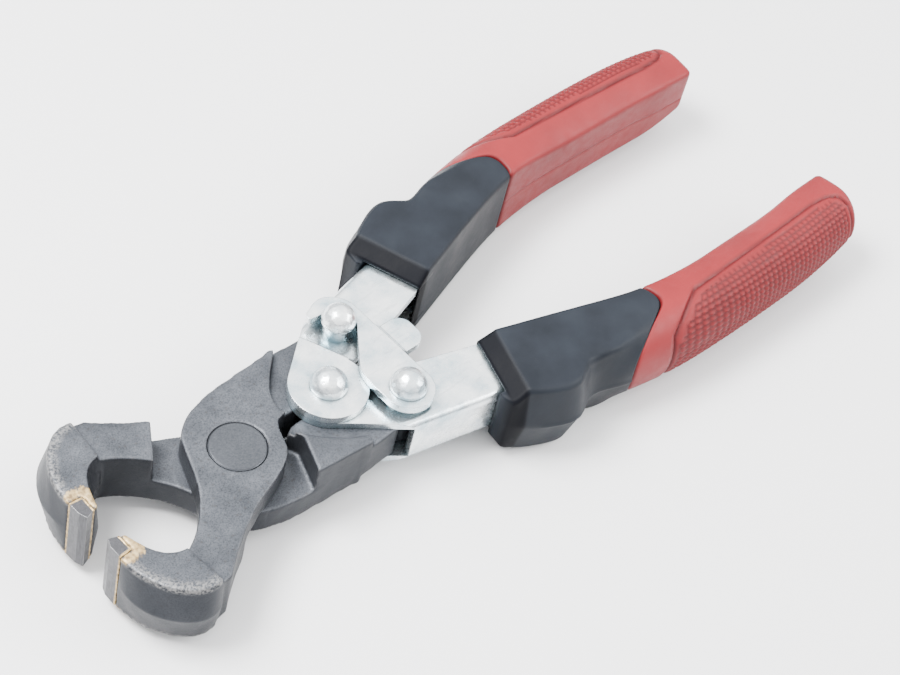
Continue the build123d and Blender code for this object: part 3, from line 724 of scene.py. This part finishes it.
def oval_raw(x, place):
    """A point of the grip's section at x, as (y, z).

    The place is 0 at the inner mid-line, 1 at the inner edge, 1.5 at the crown, 3 at the outer line
    and 6 back at the inner mid-line.
    """
    if place < 0:
        y, z = oval_raw(x, -place)
        return y, -z * tuck(x)
    if place > 3:
        y, z = oval_raw(x, 6 - place)
        return y, -z * tuck(x)
    past = min(max(x - (GRIP_END - END_ROUNDING), 0.0), END_ROUNDING)
    inset = END_ROUNDING - math.sqrt(END_ROUNDING**2 - past**2)
    outer = outer_edge(x) - inset
    inner = inner_edge(x) + inset
    deep = HALF_DEEP - END_DROP * clamped(x, END_DROP_START, GRIP_END) ** 2 - inset
    front_rise = WALL_RISE_FRONT * (1 - eased(x, *WALL_FRONT))
    wall = WALL_HALF + front_rise + WALL_RISE_BACK * eased(x, *WALL_BACK) - inset
    crown = inner + CROWN_SHARE * (outer - inner)
    if place <= 1:
        return inner, min(wall, deep) * place
    if place <= CROWN_PLACE:
        t = (place - 1) * 2
        return inner + (crown - inner) * t, deep - max(deep - wall, 0.0) * (1 - t) ** 1.5
    angle = math.radians(60 * (3 - place))
    return crown + (outer - crown) * math.cos(angle), deep * math.sin(angle)


def oval_point(x, place):
    """The section's point with its inner edge rounded off."""
    if abs(place) > ROUNDED_PLACES and abs(place - 6) > ROUNDED_PLACES:
        return oval_raw(x, place)
    base = place if place < 3 else place - 6
    sign = -1 if base < 0 else 1
    here = abs(base) * WALL_HALF if abs(base) <= 1 else WALL_HALF + (abs(base) - 1) * 2 * STRIP_LENGTH
    y = z = 0.0
    for offset in SMOOTHING:
        there = here + offset
        share = there / WALL_HALF if there <= WALL_HALF else 1 + (there - WALL_HALF) / (2 * STRIP_LENGTH)
        one = oval_raw(x, share)
        y += one[0] / len(SMOOTHING)
        z += one[1] / len(SMOOTHING)
    return y, sign * z * (tuck(x) if sign < 0 else 1.0)


def outward(x, place):
    """The section's outward direction at a point."""
    before = oval_point(x, place - 0.02)
    after = oval_point(x, place + 0.02)
    run, rise = after[0] - before[0], after[1] - before[1]
    size = max(math.hypot(run, rise), 1e-6)
    return -rise / size, run / size


def inlay_distance(x, y):
    """How far a point is inside the inlay's outline, seen from above; negative outside it."""
    inside = False
    nearest = math.inf
    for k, start in enumerate(INLAY_EDGE):
        end = INLAY_EDGE[(k + 1) % len(INLAY_EDGE)]
        (x0, y0), (x1, y1) = start, end
        if (y0 > y) != (y1 > y) and x < (x1 - x0) * (y - y0) / (y1 - y0) + x0:
            inside = not inside
        if k != len(INLAY_EDGE) - 1:
            nearest = min(nearest, line_distance(x, y, start, end))
    return nearest if inside else -nearest


def ring_places():
    """Places round the section, on the lines of the inlay's cells, and whether each is on a cell's top."""
    lines = [
        ((cell + part) * CELL_WIDTH, 1.0 if part in CELL_TOPS else 0.0)
        for cell in range(CELLS_ROUND)
        for part in CELL_LINES
    ]
    quarter = []
    arc, steps = 0.0, 900
    for k in range(steps):
        angle = math.radians(90) * (k + 0.5) / steps
        if lines and arc >= lines[0][0]:
            quarter.append((3 - CROWN_PLACE * k / steps, lines[0][1]))
            lines.pop(0)
        pace = math.hypot(ROUND_HALF_WIDTH * math.sin(angle), HALF_DEEP * math.cos(angle))
        arc += pace * math.radians(90) / steps
    strip = [CROWN_PLACE - 0.5 * k / 14 for k in range(14)]
    corner = [1.0, 0.93, 0.86, 0.78, 0.66, 0.5, 0.3, 0.12, 0.06, 0.02]
    half = quarter + [(place, 0.0) for place in strip + corner if place < quarter[-1][0] - 0.01]
    return half[::-1] + [(6 - place, top) for place, top in half]


def grip_stations():
    """Distances behind the joint, on the lines of the inlay's cells, and whether each is on a cell's top.

    The rings stand close together at the joint and at the end, where the surface turns in.
    """
    stations = [(0.0, 0.0), (0.25, 0.0), (0.6, 0.0), (1.1, 0.0)]
    back = CELLS_START
    while back < CELLS_END:
        for part in CELL_LINES:
            stations.append((back + part * CELL_LENGTH, 1.0 if part in CELL_TOPS else 0.0))
        back += CELL_LENGTH
    margin = [back + MARGIN_STEP * k for k in range(16)]
    plain = [distance for distance in margin if distance < MARGIN_END]
    return stations + [(distance, 0.0) for distance in (*plain, *END_RINGS)]


def grip_relief(back, y, z, inside, on_cell):
    """How deep the moulding is cut at a point, and how much painted shade it gets there."""
    dent = GROOVE_DEPTH * bell(inside, GROOVE_WIDTH)
    shade = bell(inside, GROOVE_SHADE_WIDTH)
    if inside > INLAY_MARGIN:
        dent += CELL_DEPTH * (1 - on_cell)
        shade = max(shade, CELL_SHADE * (1 - on_cell))
    if back < 1.0:
        dent += 1.0 * (1 - back) ** 2 + (0.6 if back == 0.0 else 0.0)
        shade = max(shade, 1 - back)
    seam = bell(z, SEAM_WIDTH) * eased(SEAM_REACH - y, 0.0, 2.0)
    dent += SEAM_DEPTH * seam
    return dent, min(1.0, max(shade, SEAM_SHADE * seam))


def make_grip(side, word):
    """The red grip and its inlay, as one relief split along the groove between them."""
    places = ring_places()
    stations = grip_stations()
    corners, depth, plan = [], [], []
    for back, along_top in stations:
        settle = 1 - eased(back, *SETTLED)
        for place, round_top in places:
            y = MIDDLE_Y
            for _ in range(4):
                x = JOINT_MIDDLE + back + (joint_edge(y) - JOINT_MIDDLE) * settle
                y, z = oval_point(x, place)
            inside = inlay_distance(x, y)
            dent, shade = grip_relief(back, y, z, inside, along_top * round_top)
            out_y, out_z = outward(x, place)
            corners.append(at(x, side * (y - dent * out_y), z - dent * out_z))
            # Painted shade of the groove, cells, seam and joint, kept as the corner's depth.
            depth.append(shade)
            plan.append(inside)
    ring = len(places)
    tip = len(corners)
    corners.append(at(GRIP_END, side * TIP_Y, 0))
    depth.append(0.0)
    shell_faces, inlay_faces = [], []
    for quad in skin_faces(len(stations), ring, side):
        middle = sum(plan[i] for i in quad) / 4
        (inlay_faces if middle > 0 else shell_faces).append(quad)
    last = tip - ring
    for k in range(ring):
        a, b = last + k, last + (k + 1) % ring
        shell_faces.append([a, b, tip] if side < 0 else [b, a, tip])
    body = f"{word}_handle"
    shell = mesh_piece(f"{word}_grip_shell", corners, shell_faces, depth)
    stand_for(shell, SHELL, f"{word}_grip", body)
    cells = mesh_piece(f"{word}_grip_cells", corners, inlay_faces, depth)
    stand_for(cells, INLAY, f"{word}_grip_inlay", body)


def front_x(y):
    """Where the collar's mouth is at y: it leans back towards the outside of the handle."""
    return MOUTH_CORNER[0] - (y - MOUTH_CORNER[1]) * MOUTH_SLOPE


def box_raw(keys, place):
    """A point on the straight sides of the collar's section, each side one place long."""
    k = int(place) % BOX_PLACES
    t = place - int(place)
    (y0, z0), (y1, z1) = keys[k], keys[(k + 1) % BOX_PLACES]
    return y0 + (y1 - y0) * t, z0 + (z1 - z0) * t


def collar_point(share, x, y_now, place):
    """A point of the collar's section at x: a crisp box that turns into the grip's oval at the joint."""
    outer = outer_edge(x)
    inner = inner_edge(x)
    back = x - front_x(y_now)
    deep = COLLAR_HALF - max(0.0, 1 - back / MOUTH_BEVEL) * (COLLAR_HALF - MOUTH_HALF)
    lean = OUTER_LEAN * eased(back, 0.0, 5.0)
    upper = [(inner, 0), (inner, deep), (outer - lean, deep), (outer, 0)]
    keys = upper + [(outer - lean, -deep), (inner, -deep)]
    y_box = z_box = 0.0
    for offset in SMOOTHING:
        nearest = round(place)
        length = SHORT_SIDE if (place < nearest) == (nearest in (1, 3, 4)) else LONG_SIDE
        y, z = box_raw(keys, (place + offset * CORNER_BLEND / length) % BOX_PLACES)
        y_box += y / len(SMOOTHING)
        z_box += z / len(SMOOTHING)
    y_oval, z_oval = oval_point(x, place)
    turn = eased(share, 0.60, 1.0)
    return y_box + (y_oval - y_box) * turn, z_box + (z_oval - z_box) * turn


def collar_ring(share, places):
    """One ring of the collar's surface, a share of the way from its mouth to its joint."""
    ring = []
    for place in places:
        y = 25.0
        for _ in range(5):
            x = front_x(y) + (joint_edge(y) - front_x(y)) * share
            y, z = collar_point(share, x, y, place)
        ring.append((x, y, z))
    return ring


def lining_point(x, y, z, reach, tight):
    """A point of the mouth's lining: drawn in towards the channel and carried back inside."""
    web = WEB_START_Y + (front_x(y) - WEB_START_X) * WEB_SLOPE + WEB_GAP
    open_edge = LINK_Y + (x - LINK_X) * OPEN_EDGE_SLOPE - OPEN_EDGE_OFFSET - OPEN_EDGE_GAP
    tight_y = min(max(y, open_edge), web)
    tight_z = min(max(z, -CHANNEL_HALF), CHANNEL_HALF)
    mix_y, mix_z = y + (tight_y - y) * tight, z + (tight_z - z) * tight
    drift = reach * (LINING_SLOPE if y < 20 else WEB_SLOPE)
    return x + reach, mix_y + drift, mix_z


def worn_point(x, y, z):
    """A point of the collar with the rubber's dents, hollow and outer moulding ridge."""
    top = abs(z) / COLLAR_HALF
    hollow = HOLLOW_DEPTH * math.exp(-oval_spread(x, y, *HOLLOW)) * eased(top, 0.5, 0.9)
    dent = DENT_DEPTH * math.exp(-oval_spread(x, y, *DENT)) * eased(top, 0.6, 0.95)
    ridge = RIDGE_HEIGHT * bell(z, 0.4) * eased(y, 28.0, 31.0) * eased(x, 66.0, 70.0)
    return x, y + ridge, z - math.copysign(hollow + dent, z)


def make_collar(side, word):
    """The black collar: bevelled mouth around the channel, finger guard, dents and a curved joint."""
    half = [start + k / steps for start, steps in enumerate(SIDE_STEPS) for k in range(steps)]
    places = half + [3.0] + [6 - place for place in reversed(half) if place > 0]
    shares = [0.0, 0.008, 0.02] + [0.02 + 0.955 * (k / 96) for k in range(1, 97)] + [0.985, 0.992, 0.997, 1.0]
    corners, depth = [], []
    mouth = collar_ring(0.0, places)
    for reach, tight in LINING:
        for x, y, z in mouth:
            x_in, y_in, z_in = lining_point(x, y, z, reach, tight)
            corners.append(at(x_in, side * y_in, z_in))
            depth.append(0.0)
    for share in shares:
        fall = eased(share, 0.985, 1.0)
        for raw in collar_ring(share, places):
            x, y, z = worn_point(*raw)
            y += (30.0 - y) * 0.06 * fall
            z -= z * 0.06 * fall
            # Painted shade in the mouth's bevel and in the crease at the joint, kept as each corner's depth.
            bevel = 1 - eased(x - front_x(y), 3.8, 4.8)
            corners.append(at(x, side * y, z))
            depth.append(max(fall, BEVEL_SHADE * bevel))
    ring = len(places)
    faces = list(skin_faces(len(corners) // ring, ring, side))
    collar = mesh_piece(f"{word}_rubber_collar", corners, faces, depth)
    stand_for(collar, COLLAR, f"{word}_collar", f"{word}_handle")


# ---------------------------------------------------------------- jaws and braze

# The hook's outer rim seen from above, and its middle. All of the jaw's numbers are the front jaw's.
HOOK_RIM = [(-27.0, -26.7), (-31.0, -26.8), (-36.5, -23.0), (-39.8, -17.5), (-41.6, -10.5)]
HOOK_MIDDLE_X = -31.0
HOOK_MIDDLE_Y = -12.5
HOOK_START_X = -27.0
MOUTH_RADIUS = 7.5
EYE_RADIUS = 14.5
TAIL_START_X = 24
JAW_VOXEL = 0.38
JAW_ROUNDS = 9
PARTING_HEIGHT = 0.05
LIP_HEIGHT = 0.22
WAVE_DEPTH = 0.07
FILM_HEIGHT = 0.13
FILM_PATCHES = (((-37.0, -7.6), (1.9, 3.9)), ((-39.4, -10.2), (2.7, 1.5)))
BRAZE_VOXEL = 0.16
BRAZE_ROUNDS = 2
BRAZE_LUMPS = 0.10


def hook_lip(x, y, z):
    """How much of the rolled lip there is at a point of the hook: 1 on its outer rim, above and below."""
    rim = min(line_distance(x, y, start, end) for start, end in zip(HOOK_RIM, HOOK_RIM[1:]))
    return eased(abs(z), 7.6, 8.6) * (1 - eased(rim, 0.9, 2.6))


def forging_wave(x, y, z):
    """The slow unevenness of a forged face, between -1 and 1."""
    return math.sin(0.83 * x + 0.4 * y + 1.3) * math.sin(0.71 * y - 0.35 * x + 0.6) * math.sin(0.6 * z + 0.5)


def alloy_film(x, y, z):
    """How far the braze has run over the end of the hook: 1 on the patch, with a ragged edge."""
    wobble = 0.35 * math.sin(2.9 * x + 0.7) * math.sin(2.3 * y + 1.1) + 0.2 * math.sin(6.1 * x - 4.3 * y)
    inside = 1 - min(oval_spread(x, y, *patch) for patch in FILM_PATCHES)
    return eased(inside + wobble, 0.0, 0.3) * eased(abs(z), 8.5, 8.9)


def make_jaw(node, body, turn):
    """A forged jaw: the CAD jaw with rounded edges, a parting line, forging waves and a lip on its hook.

    The back jaw is the front one turned over about the X axis, and turn is -1 for it.
    """
    piece = softened_copy(f"{node}_forging", node, JAW_VOXEL, JAW_ROUNDS)
    solid = piece.data
    normals = [vertex.normal.copy() for vertex in solid.vertices]
    # Where the surface faces sideways: the amount of painted shade on the jaw's sides.
    side_shade = [1 - eased(abs(normal.z), 0.35, 0.85) for normal in normals]
    lip, film = [], []
    for vertex, normal in zip(solid.vertices, normals):
        place = (vertex.co - PIVOT) / MM
        x, y, z = place.x, turn * place.y, turn * place.z
        out_x, out_y = x - HOOK_MIDDLE_X, y - HOOK_MIDDLE_Y
        out = math.hypot(out_x, out_y)
        edge = 0.0
        if x < HOOK_START_X and out > MOUTH_RADIUS:
            edge = hook_lip(x, y, z)
            parting = bell(z, 0.45) * eased(out, 11.0, 12.0)
            sway = 0.5 + 0.5 * math.sin(1.7 * x + 2.3 * y) * math.sin(0.9 * y - 1.1 * x + z)
            push = PARTING_HEIGHT * parting + edge * LIP_HEIGHT * sway
            away = Vector((out_x, out_y, 0)).normalized()
            vertex.co += Vector((away.x, turn * away.y, 0)) * push * MM
        if math.hypot(x, y) > EYE_RADIUS and x < TAIL_START_X:
            vertex.co -= normal * WAVE_DEPTH * (1 + forging_wave(x, y, z)) * MM
        coat = alloy_film(x, y, z)
        vertex.co.z += math.copysign(FILM_HEIGHT * coat, place.z) * MM
        lip.append(edge)
        film.append(coat)
    for name, values in (("lip", lip), ("film", film), ("side_shade", side_shade)):
        store(solid, name, values)
    stand_for(piece, FORGED, node, body)


def make_braze(node, body):
    """The braze: a lumpy seam between the hook and its carbide tip."""
    piece = softened_copy(f"{node}_run", node, BRAZE_VOXEL, BRAZE_ROUNDS)
    normals = [vertex.normal.copy() for vertex in piece.data.vertices]
    for vertex, normal in zip(piece.data.vertices, normals):
        x, y, z = (vertex.co - PIVOT) / MM
        lump = 0.5 + 0.5 * math.sin(3.1 * x + 1.7 * z) * math.sin(2.3 * z + 1.9 * y)
        vertex.co += normal * BRAZE_LUMPS * lump * MM
    stand_for(piece, BRAZE, node, body)


# ---------------------------------------------------------------- return spring

WIRE_RADIUS = 0.7
COIL_X = 28.0
COIL_RADIUS = 4.5
COIL_TURNS = 3.45
COIL_PITCH = 1.45
COIL_STEPS = 179
LEG_ROUTE = [(28.5, 4.5), (48.6, 7.4), (55.5, 13.0), (64.0, 22.6)]
LEG_STEPS = 40
LEG_SMOOTHINGS = 3


def make_wire(name, points, body):
    """A round wire through points given in millimetres from the jaw pivot."""
    curve = bpy.data.curves.new(name, "CURVE")
    curve.dimensions = "3D"
    curve.bevel_depth = WIRE_RADIUS * MM
    curve.bevel_resolution = 4
    curve.resolution_u = 6
    curve.use_fill_caps = True
    line = curve.splines.new("POLY")
    line.points.add(len(points) - 1)
    for point, place in zip(line.points, points):
        point.co = (*at(*place), 1)
    curve.materials.append(SPRING)
    wire = bpy.data.objects.new(name, curve)
    bpy.context.scene.collection.objects.link(wire)
    mesh = bpy.data.meshes.new_from_object(wire.evaluated_get(bpy.context.evaluated_depsgraph_get()))
    bpy.data.objects.remove(wire)
    mesh.polygons.foreach_set("use_smooth", [True] * len(mesh.polygons))
    piece = bpy.data.objects.new(name, mesh)
    bpy.context.scene.collection.objects.link(piece)
    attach(piece, body)
    return piece


def bent_leg(side, height):
    """A spring leg: straight off the coil past the jaw's eye, then bent out to the inside of the web."""
    runs = len(LEG_ROUTE) - 1
    points = []
    for k in range(LEG_STEPS + 1):
        share = runs * k / LEG_STEPS
        i = min(runs - 1, int(share))
        t = share - i
        (x0, y0), (x1, y1) = LEG_ROUTE[i], LEG_ROUTE[i + 1]
        points.append((x0 + (x1 - x0) * t, side * y0 + (side * y1 - side * y0) * t))
    for _ in range(LEG_SMOOTHINGS):
        middle = [
            tuple((points[k - 1][n] + 2 * points[k][n] + points[k + 1][n]) / 4 for n in (0, 1))
            for k in range(1, len(points) - 1)
        ]
        points = [points[0], *middle, points[-1]]
    return [(x, y, height) for x, y in points]


def make_spring():
    """The return spring: a coil and lower leg on the lower handle, and an upper leg on the upper one."""
    rise = COIL_TURNS * COIL_PITCH
    coil = []
    for k in range(COIL_STEPS + 1):
        angle = math.radians(90) + 2 * math.pi * COIL_TURNS * k / COIL_STEPS
        x = COIL_X + COIL_RADIUS * math.cos(angle)
        coil.append((x, COIL_RADIUS * math.sin(angle), -rise / 2 + rise * k / COIL_STEPS))
    lower = make_wire("spring_coil", coil + bent_leg(-1, rise / 2), "lower_handle")
    make_wire("spring_upper_leg", bent_leg(1, -rise / 2), "upper_handle")
    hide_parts("return_spring")


make_camera()
make_floor()
make_light()
dress_nodes()
make_grip(1, "upper")
make_grip(-1, "lower")
make_collar(1, "upper")
make_collar(-1, "lower")
make_jaw("front_jaw", "front_jaw", 1)
make_jaw("back_jaw", "back_jaw", -1)
make_braze("front_braze_seam", "front_jaw")
make_braze("back_braze_seam", "back_jaw")
make_spring()
